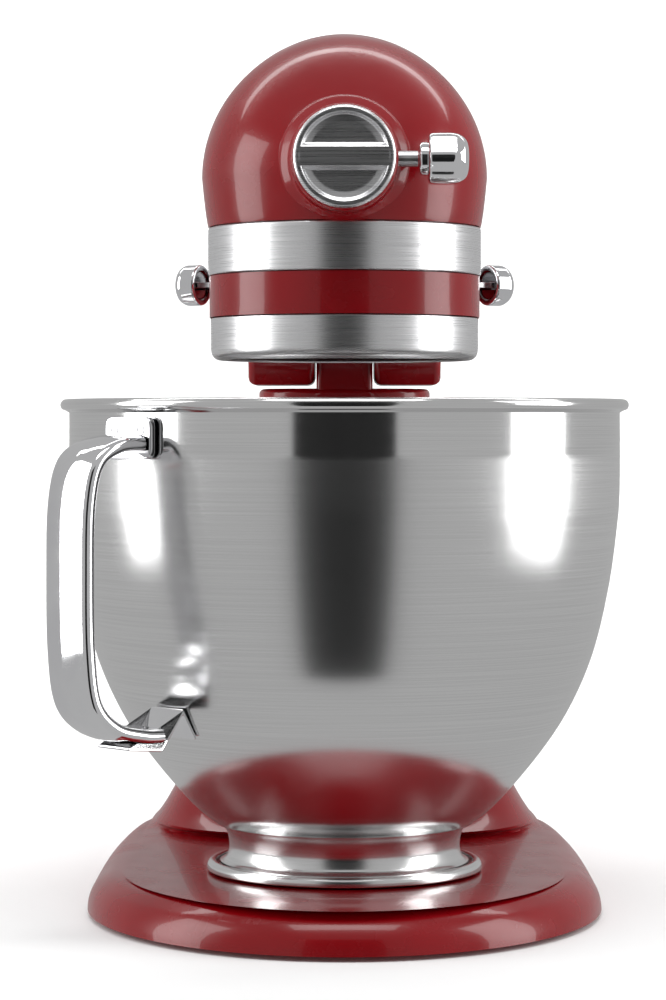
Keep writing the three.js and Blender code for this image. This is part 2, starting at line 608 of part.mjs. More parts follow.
function buildWormDrive(head) {
  const shaft = at(alongX(rod(4, -21, 40, 16)), 0, 0, HUB_Z);
  addPart('worm_gear_shaft', shaft, GEAR_STEEL, head);
  const wheel = spurGear(WORM_WHEEL_TEETH, 7, 4 + GAP).translate(0, 0, -3.5);
  addPart('worm_gear', at(alongX(wheel), 0, 0, HUB_Z), BRONZE, head);
  const teeth = bevelTeeth(BEVEL_TEETH, BEVEL_DISTANCE, FACE_SHARE, HALF_PITCH);
  const pinion = join(teeth, rod(12, -BEVEL_DISTANCE - 4, -BEVEL_DISTANCE + 1, 24));
  const bored = cut(pinion, rod(4 + GAP, -60, 0, 16));
  addPart('bevel_pinion', at(bored.clone().rotateY(-Math.PI / 2), 0, 0, HUB_Z), GEAR_STEEL, head);
  const hubTeeth = join(
    bevelTeeth(BEVEL_TEETH, BEVEL_DISTANCE, FACE_SHARE, HALF_PITCH),
    rod(10.4, -56, -BEVEL_DISTANCE + 1, 20));
  const socket = block([-4.2, -4.2, -57], [4.2, 4.2, -40]);
  const hubGear = cut(hubTeeth, socket).rotateX(-Math.PI / 2);
  addPart('hub_bevel_gear', at(hubGear, 0, 0, HUB_Z), GEAR_STEEL, head);
  const lugs = [-17, 13.2].map((x) => block([x, -8, 286], [x + 4.4, 22, 303.5]));
  const bridge = block([-17, 20, 286], [17.6, 26, 330]);
  const wings = block([-49, 20, 300], [49, 26, 306]);
  const wormBore = at(alongY(rod(6.3, 0, 60, 20)), 0, 0, MOTOR_Z);
  const axleBore = at(alongX(rod(4 + GAP, -60, 60, 16)), 0, 0, HUB_Z);
  addPart('gear_bracket', cut(join(bridge, wings, ...lugs), wormBore, axleBore), CAST_METAL, head);
}

function buildMotor(head) {
  const axis = (geometry, y) => at(alongY(geometry), 0, y, MOTOR_Z);
  addPart('worm', axis(cut(wormThread(16), rod(3.3, -20, 20, 12)), 0), GEAR_STEEL, head);
  const armature = turned([
    [0, -13], [3, -13], [3, 40], [5, 40], [5, 66], [20, 66], [20, 108], [5, 108], [5, 150],
    [3, 150], [3, 166], [0, 166]], 24);
  addPart('armature', axis(armature, 0), LAMINATION, head);
  const bars = tube(12, 5 + GAP, 118, 135, 24);
  addPart('commutator', axis(bars, 0), COPPER, head);
  const blades = Array.from({ length: 7 }, (_, i) => block([8, -0.8, 48], [24, 0.8, 59])
    .rotateZ(i * 2 * Math.PI / 7));
  const hubAndDisc = [tube(9.5, 5, 47, 60, 16), tube(24, 8, 46, 48.5, 20)];
  const fan = cut(join(...hubAndDisc, ...blades), rod(5.3, 40, 70, 16));
  addPart('cooling_fan', axis(fan, 0), BLACK_PLASTIC, head);
  const core = tube(29, 20.8, 66, 108, 32);
  addPart('motor_stator', axis(core, 0), LAMINATION, head);
  addPart('front_motor_bearing', axis(tube(6, 3 + GAP, 19, 27, 16), 0), BRONZE, head);
  addPart('rear_motor_bearing', axis(tube(9, 3 + GAP, 155, 164, 20), 0), BRONZE, head);
  for (const [side, name] of [[-1, 'left'], [1, 'right']]) {
    const brush = block([12.5, -2.8, -3.2], [31.4, 2.8, 3.2]);
    const cap = turned([[0, 32], [5.5, 32], [5.5, 42], [7, 42], [7, 47.4], [0, 47.4]], 16);
    const groove = block([-0.8, -8, 46.4], [0.8, 8, 49]);
    const place = (geometry) => at(geometry.clone().rotateZ(side < 0 ? Math.PI : 0), 0, BRUSH_Y, MOTOR_Z);
    addPart(`carbon_brush_${name}`, place(brush), CARBON, head);
    addPart(`brush_cap_${name}`, place(alongX(cut(cap, groove))), BLACK_PLASTIC, head);
  }
  const board = block([-26, 158, 270], [26, 159.6, 306]);
  addPart('control_plate', board, BOARD_GREEN, head);
}

buildPlanetary(head);
buildWormDrive(head);
buildMotor(head);

// ---- levers, thumb screw and hub cover ----------------------------------------------
const KNOB_LENGTH = 10.5;
const KNOB_RADIUS = 8.4;
const KNOB_X = 58.4; // middle of the knob's inner face

// A short domed knob about +Z with a recess in its inner face.
function leverKnob() {
  return turned([
    [0, 1.4], [5.4, 1.4], [6.4, 0.4], [7.6, 0], [KNOB_RADIUS, 0.8], [KNOB_RADIUS, 7], [7.2, 9.2],
    [4, KNOB_LENGTH - 0.3], [0, KNOB_LENGTH]], 18);
}

// side is -1 for the lock lever and 1 for the speed lever; sweep leans the knob back.
// The strip is cut in the XY plane, from a guide plate inside the head to the knob's recess.
function buildLever(head, name, side, sweepDegrees, extra = []) {
  const sweep = THREE.MathUtils.degToRad(sweepDegrees);
  const out = new THREE.Vector2(Math.cos(sweep), Math.sin(sweep));
  const base = new THREE.Vector2(KNOB_X, (KNOB_X - 52) * Math.tan(sweep));
  const tip = base.clone().add(out);
  const across = new THREE.Vector2(-out.y, out.x).multiplyScalar(3);
  const strip = new THREE.Shape([
    new THREE.Vector2(40.6, -9), new THREE.Vector2(46.5, -9), new THREE.Vector2(46.5, -4),
    new THREE.Vector2(52, -4), tip.clone().sub(across), tip.clone().add(across),
    new THREE.Vector2(52, 4), new THREE.Vector2(46.5, 4), new THREE.Vector2(46.5, 9),
    new THREE.Vector2(40.6, 9)]);
  const plate = new THREE.ExtrudeGeometry(strip, { depth: 2, bevelEnabled: false });
  const whole = extra.length ? join(plate, ...extra) : plate;
  const placed = side < 0 ? closed(whole.clone().scale(-1, 1, 1)) : whole;
  addPart(`${name}_lever`, at(placed, 0, LEVER_Y, LEVER_Z - 1), GEAR_STEEL, head);
  const knob = addPart(`${name}_knob`, leverKnob(), CHROME, head);
  const outwards = new THREE.Vector3(side * out.x, out.y, 0);
  knob.quaternion.setFromUnitVectors(new THREE.Vector3(0, 0, 1), outwards);
  knob.position.set(side * base.x, LEVER_Y + base.y, LEVER_Z);
}

// The lock lever's bar runs back inside the head and ends in a tongue-locking tip.
function lockBar() {
  return [
    block([40.6, 4, -9], [43, 62, 2]), block([-3.4, 58, -9], [43, 62, -5]),
    block([-3.4, 58, -19], [3.4, 62, -5]), block([-3.4, 58, -19], [3.4, 72.6, -16.6])];
}

function buildLevers(head) {
  buildLever(head, 'lock', -1, 26, lockBar());
  buildLever(head, 'speed', 1, 33);
}

function buildThumbscrew(head) {
  const pin = turned([[0, 13.4], [2, 13.4], [3, 14.6], [3, 27.6], [0, 27.6]], 16);
  const place = (geometry) => at(alongX(geometry), 0, THUMBSCREW_Y, HUB_Z);
  addPart('thumbscrew_pin', place(pin), GEAR_STEEL, head);
  const lobes = 6;
  const ring = (radius, x) => angles(30).map((a) => {
    const r = radius * (1 + 0.045 * Math.cos(lobes * a));
    return new THREE.Vector3(r * Math.cos(a), r * Math.sin(a), x);
  });
  const body = loft([[8, 31.2], [10, 32.4], [10, 40], [8.8, 44], [6, 46], [2, 46.8]]
    .map(([r, x]) => ring(r, x)));
  const collar = turned([[0, 27.9], [5.6, 27.9], [6.3, 28.6], [6.3, 31.5], [0, 31.5]], 16);
  addPart('thumbscrew_knob', place(join(body, collar)), CHROME, head);
}

function buildHubCover(head) {
  const disc = turned([
    [0, 70.3], [19.2, 70.3], [19.2, 72.6], [18.2, 73.6], [15.8, 73.6], [15, 72.9], [0, 71.9]], 28);
  const plug = tube(12.6, 10.8, 57, 71, 20);
  const bar = block([-17, -3.6, 71.5], [17, 3.6, 73.8]);
  const cover = join(disc, plug, bar).rotateX(Math.PI / 2);
  addPart('hub_cover', at(cover, 0, 0, HUB_Z), SATIN_TRIM, head);
}

// ---- bowl ---------------------------------------------------------------------------
// Outer profile of the bowl from the foot's weld up to the rim, as [radius, height].
const BOWL_PROFILE = [
  [50.7, BOWL_BOTTOM], [60.5, 45.5], [76.8, 64.7], [88.8, 83], [98.2, 105], [104.3, 130.7],
  [107.6, 155], [BOWL_RADIUS, 170], [BOWL_RADIUS, RIM_Z - 2.4]];

function bowlShell() {
  const inner = BOWL_PROFILE.map(([r, z], i) => (
    i === 0 ? [r - 2, z + BOWL_WALL] : [r - BOWL_WALL, z + BOWL_WALL * 0.5]));
  const rim = [
    [RIM_RADIUS, RIM_Z - 1.8], [RIM_RADIUS, RIM_Z + 1], [RIM_RADIUS - 1.4, RIM_Z + 2.4],
    [BOWL_RADIUS - BOWL_WALL + 0.6, RIM_Z + 2.4]];
  return turned([[0, BOWL_BOTTOM], ...BOWL_PROFILE, ...rim, ...inner.reverse(),
    [0, BOWL_BOTTOM + BOWL_WALL]], 36);
}

function bowlFoot() {
  const low = BASE_TOP + 2.7;
  return turned([
    [44, low], [49.3, low], [49.3, low + 1.8], [46.4, low + 3.4], [45.8, low + 9],
    [48.4, BOWL_BOTTOM - GAP], [45.6, BOWL_BOTTOM - GAP], [44, low + 9], [44, low]], 32);
}

const GRIP_HALF_WIDTH = 12;

// The grip is a curved bar in the vertical plane of the handle, drawn as [radius, height].
function handleGrip() {
  const path = new THREE.CatmullRomCurve3([
    [112.9, 188], [124, 187.2], [134.2, 181], [138.5, 166], [139.3, 140], [138.8, 112],
    [135.6, 93], [126, 83.4], [113, 80], [104, 79.4]].map(([r, z]) => new THREE.Vector3(r, 0, z)));
  const section = new THREE.Shape();
  const half = GRIP_HALF_WIDTH;
  section.moveTo(-half, -2.4).quadraticCurveTo(0, -3.4, half, -2.4);
  section.lineTo(half, 2.4).quadraticCurveTo(0, 3.8, -half, 2.4);
  return new THREE.ExtrudeGeometry(section, {
    steps: 20, curveSegments: 2, bevelEnabled: false, extrudePath: path });
}

function buildBowl() {
  const bowl = new THREE.Group();
  mixer.add(bowl);
  addPart('bowl_shell', bowlShell(), BOWL_STEEL, bowl);
  addPart('bowl_foot', bowlFoot(), BOWL_STEEL, bowl);
  const handle = new THREE.Group();
  handle.rotation.z = HANDLE_AZIMUTH;
  bowl.add(handle);
  addPart('bowl_handle', handleGrip(), CHROME, handle);
  addPart('handle_upper_bracket', block([109.2, -13, 182], [111.9, 13, 198]), CHROME, handle);
  // a folded strap: up the bowl's wall, over a crest, then out under the grip
  const strap = sideProfile([
    [86.5, 76.6], [92.5, 86.6], [102.6, 73.4], [119, 74.9], [119, 76.2], [103.2, 74.9],
    [92.4, 88.9], [85.7, 77.6]], -9, 9);
  const turnedStrap = strap.rotateZ(-Math.PI / 2);
  addPart('handle_lower_bracket', turnedStrap, CHROME, handle);
}

buildLevers(head);
buildThumbscrew(head);
buildHubCover(head);
buildBowl();

mixer.position.set(0, BOWL_AXIS_Y, 0);

export default mixer;
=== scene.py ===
"""Looks for the tilt-head stand mixer: fine surfaces, procedural finishes, light and camera."""

import math

import bmesh
import bpy
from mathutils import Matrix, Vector


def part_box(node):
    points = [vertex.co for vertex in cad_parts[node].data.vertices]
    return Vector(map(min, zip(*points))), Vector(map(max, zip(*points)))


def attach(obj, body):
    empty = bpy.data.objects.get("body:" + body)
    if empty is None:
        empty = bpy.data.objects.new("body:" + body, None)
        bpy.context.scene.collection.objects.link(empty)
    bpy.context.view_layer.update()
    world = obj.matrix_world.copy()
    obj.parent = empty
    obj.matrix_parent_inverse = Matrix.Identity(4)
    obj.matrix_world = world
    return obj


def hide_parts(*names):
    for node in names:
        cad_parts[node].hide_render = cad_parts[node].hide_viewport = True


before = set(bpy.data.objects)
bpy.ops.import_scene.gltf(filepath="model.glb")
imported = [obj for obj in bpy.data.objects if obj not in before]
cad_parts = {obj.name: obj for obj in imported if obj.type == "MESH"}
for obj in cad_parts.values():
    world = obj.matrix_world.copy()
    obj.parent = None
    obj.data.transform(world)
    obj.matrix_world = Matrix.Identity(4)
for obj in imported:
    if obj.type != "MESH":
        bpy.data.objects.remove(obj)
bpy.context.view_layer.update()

# Shapes below are worked out in millimetres about the bowl's axis, then put in the row frame.
MM = 0.001
BOWL_AXIS_Y = sum(corner.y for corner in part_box("bowl_foot")) / 2 / MM

# ---- driving dimensions (millimetres) -------------------------------------------------
BASE_HALF_WIDTH = 103
BASE_WIDEST_Y = 15
BASE_FRONT = 122
BASE_REAR = 230
BASE_BOTTOM = 2
BASE_NECK_TOP = 36
COLUMN_LOW = 36.3
COLUMN_TOP = 211
SHOULDER_Y = 165
SHOULDER_FALL = 20.5 / 35
TONGUE_HALF_WIDTH = 12.3
HINGE_Y = 165
HINGE_Z = 228
HINGE_BORE = 5.3

HEAD_HALF_WIDTH = 53.7
HEAD_LENGTH_BEHIND = 222
HEAD_PARTING = 262.5
LOWER_WALL_HALF_WIDTH = HEAD_HALF_WIDTH - 0.3
DOME_CENTRE = 291.8
DOME_HALF_WIDTH = 56.3
DOME_HEIGHT = 61.7
SHELL_WALL = 3
BAND_LOW = 253.5
BAND_HIGH = 272.3
BAND_SEAT = HEAD_HALF_WIDTH - 1.6
REAR_COVER_Y = 168
COVER_GAP = 0.3
RING_RADIUS = 52.8
RING_LOW = 220.2
RING_HIGH = 236.8
LEVER_Y = 48
LEVER_SLOT_LOW = 250.6
LEVER_SLOT_HIGH = 256
SPEED_SLOT_REACH = 40
LOCK_SLOT_REACH = 13
BRUSH_BORE = 7.3
THUMBSCREW_BORE = 3.4
AXIS_RADIUS = 0.01  # a cutter stays this far off its own axis
HUB_Z = 294.7
HUB_RADIUS = 20.2
HUB_FRONT = -70
HUB_BORE = 13
THUMBSCREW_Y = -60
BRUSH_Y = 127
MOTOR_Z = 318.7

CLAMP_RADIUS = 54.5
CLAMP_LOW = 18.9
BOWL_BOTTOM = 37.5
BOWL_WALL = 1.4
BOWL_RADIUS = 108.6
RIM_RADIUS = 112.1
RIM_Z = 202.5
POLISHED_FROM = 183
HANDLE_AZIMUTH = math.radians(224)

RING_COUNT = 144
LATHE_COUNT = 160
SHARP_ANGLE = math.radians(38)


# ---- small geometry helpers -----------------------------------------------------------
def mix(a, b, t):
    return a + (b - a) * t


def steps(low, high, count):
    return [mix(low, high, i / (count - 1)) for i in range(count)]


def angles(count=RING_COUNT):
    return [2 * math.pi * i / count for i in range(count)]


def signed_power(value, exponent):
    return math.copysign(abs(value) ** exponent, value)


def row(point):
    """A point in millimetres about the bowl's axis, in the row frame in metres."""
    x, y, z = point
    return Vector((x * MM, (y + BOWL_AXIS_Y) * MM, z * MM))


def smooth_path(points, per_span=8):
    """A Catmull-Rom curve through the points, which may have any number of coordinates."""
    out = []
    last = len(points) - 1
    for i in range(last):
        p0 = points[max(i - 1, 0)]
        p1, p2 = points[i], points[i + 1]
        p3 = points[min(i + 2, last)]
        for k in range(per_span):
            t = k / per_span
            out.append(tuple(
                0.5 * (2 * b + (c - a) * t + (2 * a - 5 * b + 4 * c - d) * t * t
                       + (3 * b - a - 3 * c + d) * t ** 3)
                for a, b, c, d in zip(p0, p1, p2, p3)))
    out.append(tuple(points[last]))
    return out


def rounded(points, radius, count=4, closed=False):
    """The outline with each corner replaced by a short curve of about that radius."""
    corners = [Vector(p) for p in points]
    n = len(corners)
    out = []
    for i, corner in enumerate(corners):
        if not closed and i in (0, n - 1):
            out.append(tuple(corner))
            continue
        before = corners[i - 1] - corner
        after = corners[(i + 1) % n] - corner
        reach = min(radius, before.length * 0.45, after.length * 0.45)
        start = corner + before.normalized() * reach
        end = corner + after.normalized() * reach
        for t in steps(0, 1, count):
            out.append(tuple(start * (1 - t) ** 2 + corner * 2 * t * (1 - t) + end * t * t))
    return out


# ---- meshes ---------------------------------------------------------------------------
def new_mesh(points, faces, merge=1e-3):
    """A mesh in row-frame metres from millimetre points, with repeated points welded."""
    bm = bmesh.new()
    verts = [bm.verts.new(row(p)) for p in points]
    for face in faces:
        bm.faces.new([verts[i] for i in dict.fromkeys(face)])
    bmesh.ops.remove_doubles(bm, verts=bm.verts, dist=merge * MM)
    bmesh.ops.recalc_face_normals(bm, faces=bm.faces)
    mesh = bpy.data.meshes.new("shape")
    bm.to_mesh(mesh)
    bm.free()
    return mesh


def ring_faces(rows, count, closed_rows=False):
    """Quads between neighbouring rings that hold the same number of points."""
    faces = []
    pairs = rows if closed_rows else rows - 1
    for r in range(pairs):
        low, high = r * count, ((r + 1) % rows) * count
        for i in range(count):
            j = (i + 1) % count
            faces.append((low + i, low + j, high + j, high + i))
    return faces


def cap_across(first, count):
    """Strips from side to side that close a ring which is the same left and right."""
    faces = []
    for i in range(-count // 4, count // 4):
        left = count // 2 - i
        faces.append(tuple(first + k % count for k in (i, i + 1, left - 1, left)))
    return faces


def loft(rings, cap_low=True, cap_high=True):
    count = len(rings[0])
    points = [p for ring in rings for p in ring]
    faces = ring_faces(len(rings), count)
    if cap_low:
        faces += cap_across(0, count)
    if cap_high:
        faces += cap_across((len(rings) - 1) * count, count)
    return new_mesh(points, faces)


def shell(outer, inner):
    """A closed wall between two domes, each a list of rings from the open end to the crown."""
    count = len(outer[0])
    rings = list(reversed(outer)) + inner
    points = [p for ring in rings for p in ring]
    faces = ring_faces(len(rings), count)
    faces += cap_across(0, count)
    faces += cap_across((len(rings) - 1) * count, count)
    return new_mesh(points, faces)


def place_about(axis, origin):
    """How a turned point (radius, along, angle) lands in the model's millimetres."""
    ox, oy, oz = origin

    def put(radius, along, angle):
        u, v = radius * math.cos(angle), radius * math.sin(angle)
        if axis == "X":
            return (ox + along, oy + u, oz + v)
        if axis == "Y":
            return (ox + u, oy + along, oz + v)
        return (ox + u, oy + v, oz + along)
    return put


def lathe(profile, axis="Z", origin=(0, 0, 0), count=LATHE_COUNT, closed=False, lobes=None):
    """Turns [radius, along] points about an axis; lobes(angle, along) can vary the radius."""
    put = place_about(axis, origin)
    points = []
    for radius, along in profile:
        for a in angles(count):
            scale = lobes(a, along) if lobes else 1
            points.append(put(radius * scale, along, a))
    return new_mesh(points, ring_faces(len(profile), count, closed))


def slab(outline, low, high, edge=0, axis="X", count=4):
    """An outline of (first, second) points pushed along an axis, its two rims rounded by edge."""
    layers = [(low + edge * (1 - math.cos(t)), edge * (1 - math.sin(t)))
              for t in steps(0, math.pi / 2, count)]
    layers += [(high + low - along, inset) for along, inset in reversed(layers)]
    points = []
    n = len(outline)
    normals = outline_normals(outline)
    for along, inset in layers:
        for (a, b), (na, nb) in zip(outline, normals):
            first, second = a - na * inset, b - nb * inset
            points.append(oriented(axis, along, first, second))
    faces = ring_faces(len(layers), n)
    faces.append(tuple(range(n)))
    faces.append(tuple(range((len(layers) - 1) * n, len(layers) * n)))
    return new_mesh(points, faces)


def oriented(axis, along, first, second):
    return {"X": (along, first, second), "Y": (first, along, second),
            "Z": (first, second, along)}[axis]


def outline_normals(outline):
    """Outward unit normals at the corners of a flat outline."""
    n = len(outline)
    area = sum(outline[i][0] * outline[(i + 1) % n][1] - outline[(i + 1) % n][0] * outline[i][1]
               for i in range(n))
    turn = 1 if area > 0 else -1
    out = []
    for i in range(n):
        before, after = Vector(outline[i - 1]), Vector(outline[(i + 1) % n])
        run = (after - before).normalized()
        out.append((run.y * turn, -run.x * turn))
    return out


def joined(*meshes):
    """One mesh that holds every given mesh as it is."""
    bm = bmesh.new()
    for mesh in meshes:
        bm.from_mesh(mesh)
        bpy.data.meshes.remove(mesh)
    out = bpy.data.meshes.new("shape")
    bm.to_mesh(out)
    bm.free()
    return out


def carved(mesh, *cutters):
    """The mesh after cutting each of the other closed meshes out of it."""
    target = bpy.data.objects.new("carving", mesh)
    bpy.context.scene.collection.objects.link(target)
    tools = []
    for cutter in cutters:
        tool = bpy.data.objects.new("cutter", cutter)
        bpy.context.scene.collection.objects.link(tool)
        step = target.modifiers.new("cut", "BOOLEAN")
        step.operation = "DIFFERENCE"
        step.solver = "EXACT"
        step.object = tool
        tools.append(tool)
    bpy.context.view_layer.update()
    graph = bpy.context.evaluated_depsgraph_get()
    out = bpy.data.meshes.new_from_object(target.evaluated_get(graph))
    for spare in [target, *tools]:
        bpy.data.objects.remove(spare)
    return out


def clipped(mesh, y, keep_rear):
    """The part of a mesh in front of, or behind, a plane across the mixer."""
    bm = bmesh.new()
    bm.from_mesh(mesh)
    bmesh.ops.bisect_plane(
        bm, geom=bm.verts[:] + bm.edges[:] + bm.faces[:], plane_co=row((0, y, 0)),
        plane_no=(0, 1, 0), clear_inner=keep_rear, clear_outer=not keep_rear)
    out = bpy.data.meshes.new("shape")
    bm.to_mesh(out)
    bm.free()
    return out


def soften(mesh):
    """Smooth shading that keeps the real corners."""
    mesh.shade_smooth()
    mesh.set_sharp_from_angle(angle=SHARP_ANGLE)


def piece(name, mesh, body, material, *nodes, bevel=0):
    """A visible piece that rides on a CAD body and stands for the named CAD nodes."""
    soften(mesh)
    mesh.name = name
    obj = bpy.data.objects.new(name, mesh)
    bpy.context.scene.collection.objects.link(obj)
    mesh.materials.clear()
    mesh.materials.append(MATERIALS[material])
    if bevel:
        edge = obj.modifiers.new("edge", "BEVEL")
        edge.width = bevel * MM
        edge.segments = 3
        edge.limit_method = "ANGLE"
        edge.angle_limit = SHARP_ANGLE
        edge.harden_normals = True
    even = obj.modifiers.new("even", "WEIGHTED_NORMAL")
    even.keep_sharp = True
    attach(obj, body)
    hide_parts(*nodes)
    return obj


# ---- finishes -------------------------------------------------------------------------
class Finish:
    """A Principled material whose sockets are fed by procedural patterns."""

    def __init__(self, name, metallic=0.0, roughness=0.5, colour=None, coat=0.0):
        self.material = bpy.data.materials.new(name)
        self.material.use_nodes = True
        self.tree = self.material.node_tree
        self.shader = self.tree.nodes["Principled BSDF"]
        self.shader.inputs["Metallic"].default_value = metallic
        self.shader.inputs["Roughness"].default_value = roughness
        if colour:
            self.shader.inputs["Base Color"].default_value = (*colour, 1)
        if coat:
            self.shader.inputs["Coat Weight"].default_value = coat
            self.shader.inputs["Coat Roughness"].default_value = 0.03
        self.where = self.tree.nodes.new("ShaderNodeTexCoord").outputs["Object"]

    def link(self, source, target):
        self.tree.links.new(source, target)

    def noise(self, scale, stretch=(1, 1, 1), detail=3):
        """Cloudy noise over the object, stretched per axis."""
        mapping = self.tree.nodes.new("ShaderNodeMapping")
        mapping.inputs["Scale"].default_value = stretch
        self.link(self.where, mapping.inputs["Vector"])
        noise = self.tree.nodes.new("ShaderNodeTexNoise")
        noise.inputs["Scale"].default_value = scale
        noise.inputs["Detail"].default_value = detail
        self.link(mapping.outputs["Vector"], noise.inputs["Vector"])
        return noise.outputs["Fac"]

    def colours(self, pattern, low, high, edges=(0.35, 0.65)):
        """The base colour runs from low to high with the pattern."""
        ramp = self.tree.nodes.new("ShaderNodeValToRGB")
        for element, edge, colour in zip(ramp.color_ramp.elements, edges, (low, high)):
            element.position = edge
            element.color = (*colour, 1)
        self.link(pattern, ramp.inputs["Fac"])
        self.link(ramp.outputs["Color"], self.shader.inputs["Base Color"])

    def spread(self, pattern, low, high, socket="Roughness", edges=(0.3, 0.7)):
        """A number socket runs from low to high with the pattern."""
        ranged = self.tree.nodes.new("ShaderNodeMapRange")
        ranged.inputs["From Min"].default_value = edges[0]
        ranged.inputs["From Max"].default_value = edges[1]
        ranged.inputs["To Min"].default_value = low
        ranged.inputs["To Max"].default_value = high
        self.link(pattern, ranged.inputs["Value"])
        self.link(ranged.outputs["Result"], self.shader.inputs[socket])

    def bump(self, pattern, strength, distance):
        """Relief from the pattern; distance is in millimetres."""
        bump = self.tree.nodes.new("ShaderNodeBump")
        bump.inputs["Strength"].default_value = strength
        bump.inputs["Distance"].default_value = distance * MM
        self.link(pattern, bump.inputs["Height"])
        self.link(bump.outputs["Normal"], self.shader.inputs["Normal"])

    def brushed_round(self, amount):
        """Highlights drawn out across lines brushed round the upright axis."""
        tangent = self.tree.nodes.new("ShaderNodeTangent")
        tangent.direction_type = "RADIAL"
        tangent.axis = "Z"
        self.shader.inputs["Anisotropic"].default_value = amount
        self.link(tangent.outputs["Tangent"], self.shader.inputs["Tangent"])


def enamel():
    f = Finish("enamel", coat=0.35)
    f.shader.inputs["Specular IOR Level"].default_value = 0.3
    f.colours(f.noise(14), (0.190, 0.0003, 0.0025), (0.230, 0.0005, 0.0040))
    f.spread(f.noise(60, detail=5), 0.20, 0.30)
    f.bump(f.noise(420, detail=1), 0.025, 0.05)
    return f.material


def satin_trim():
    f = Finish("satin_trim", metallic=1.0)
    lines = f.noise(40, stretch=(0.6, 0.6, 110), detail=4)
    f.colours(lines, (0.74, 0.74, 0.75), (0.82, 0.82, 0.83))
    f.spread(lines, 0.24, 0.34)
    f.bump(lines, 0.05, 0.02)
    return f.material


def chrome():
    f = Finish("chrome", metallic=1.0)
    f.colours(f.noise(30), (0.80, 0.80, 0.82), (0.88, 0.88, 0.89))
    f.spread(f.noise(120, detail=5), 0.035, 0.08)
    return f.material


def bowl_steel():
    """Brushed round the bowl, with the belt under the rim left polished."""
    f = Finish("bowl_steel", metallic=1.0)
    lines = f.noise(30, stretch=(0.4, 0.4, 110), detail=4)
    f.colours(lines, (0.76, 0.76, 0.76), (0.82, 0.82, 0.82))
    height = f.tree.nodes.new("ShaderNodeSeparateXYZ")
    f.link(f.where, height.inputs["Vector"])
    belt = f.tree.nodes.new("ShaderNodeMapRange")
    belt.inputs["From Min"].default_value = (POLISHED_FROM - 1.2) * MM
    belt.inputs["From Max"].default_value = (POLISHED_FROM + 1.2) * MM
    belt.inputs["To Min"].default_value = 0.17
    belt.inputs["To Max"].default_value = 0.07
    f.link(height.outputs["Z"], belt.inputs["Value"])
    grain = f.tree.nodes.new("ShaderNodeMath")
    grain.operation = "MULTIPLY_ADD"
    grain.inputs[1].default_value = 0.06
    f.link(lines, grain.inputs[0])
    f.link(belt.outputs["Result"], grain.inputs[2])
    f.link(grain.outputs["Value"], f.shader.inputs["Roughness"])
    f.bump(lines, 0.015, 0.02)
    f.brushed_round(0.5)
    return f.material


def plain_metal(name, low, high, roughness, scale=60, relief=0.03):
    """Bare metal with uneven colour, dulled patches and a faint grain."""
    f = Finish(name, metallic=1.0)
    f.colours(f.noise(scale), low, high)
    f.spread(f.noise(scale * 2, detail=5), *roughness)
    f.bump(f.noise(scale * 6), relief, 0.05)
    return f.material


def plain_solid(name, low, high, roughness, scale=80, relief=0.05):
    """Plastic, rubber, carbon or board with uneven colour and a fine grain."""
    f = Finish(name)
    f.colours(f.noise(scale), low, high)
    f.spread(f.noise(scale * 2, detail=5), *roughness)
    f.bump(f.noise(scale * 8), relief, 0.08)
    return f.material


def wound_copper():
    f = Finish("copper", metallic=1.0)
    turns = f.noise(50, stretch=(1, 40, 1), detail=2)
    f.colours(turns, (0.40, 0.14, 0.06), (0.68, 0.30, 0.15))
    f.spread(turns, 0.28, 0.5)
    f.bump(turns, 0.3, 0.2)
    return f.material


def laminated():
    f = Finish("lamination", metallic=1.0)
    sheets = f.noise(60, stretch=(1, 30, 1), detail=2)
    f.colours(sheets, (0.20, 0.20, 0.21), (0.38, 0.38, 0.39))
    f.spread(sheets, 0.4, 0.6)
    f.bump(sheets, 0.3, 0.1)
    return f.material


MATERIALS = {
    "enamel": enamel(),
    "satin_trim": satin_trim(),
    "chrome": chrome(),
    "bowl_steel": bowl_steel(),
    "steel": plain_metal("steel", (0.50, 0.50, 0.51), (0.62, 0.62, 0.63), (0.22, 0.38)),
    "gear_steel": plain_metal("gear_steel", (0.30, 0.30, 0.31), (0.44, 0.44, 0.45), (0.3, 0.48)),
    "cast_metal": plain_metal("cast_metal", (0.42, 0.42, 0.43), (0.54, 0.54, 0.55), (0.42, 0.6),
                              relief=0.2),
    "bronze": plain_metal("bronze", (0.42, 0.24, 0.09), (0.60, 0.36, 0.15), (0.28, 0.45)),
    "lamination": laminated(),
    "copper": wound_copper(),
    "black_plastic": plain_solid("black_plastic", (0.012, 0.012, 0.013), (0.03, 0.03, 0.032),
                                 (0.35, 0.5)),
    "board": plain_solid("board", (0.02, 0.12, 0.05), (0.035, 0.17, 0.075), (0.4, 0.55)),
    "carbon": plain_solid("carbon", (0.01, 0.01, 0.01), (0.03, 0.03, 0.03), (0.5, 0.7)),
    "rubber": plain_solid("rubber", (0.012, 0.012, 0.012), (0.028, 0.028, 0.028), (0.65, 0.85),
                          relief=0.15),
}


def finish_frame_nodes():
    """Gives every CAD node its slot's finish and smooth shading."""
    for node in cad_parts.values():
        material = MATERIALS[node.data.materials[0].name.split(".")[0]]
        node.data.materials.clear()
        node.data.materials.append(material)
        soften(node.data)


# ---- stand ----------------------------------------------------------------------------
def base_ring(z, inset):
    """The base's outline, its rolled edge narrowing towards the column."""
    ring = []
    for a in angles():
        back = max(0.0, math.sin(a))
        roll = inset * (1 - 0.5 * min(1, 2.2 * back))
        reach = (BASE_REAR if back > 0 else BASE_FRONT) - roll
        corner = 0.65 if back > 0 else 1
        x = (BASE_HALF_WIDTH - roll) * signed_power(math.cos(a), corner) * (1 - 0.06 * back ** 2)
        ring.append((x, BASE_WIDEST_Y + reach * signed_power(math.sin(a), corner), z))
    return ring


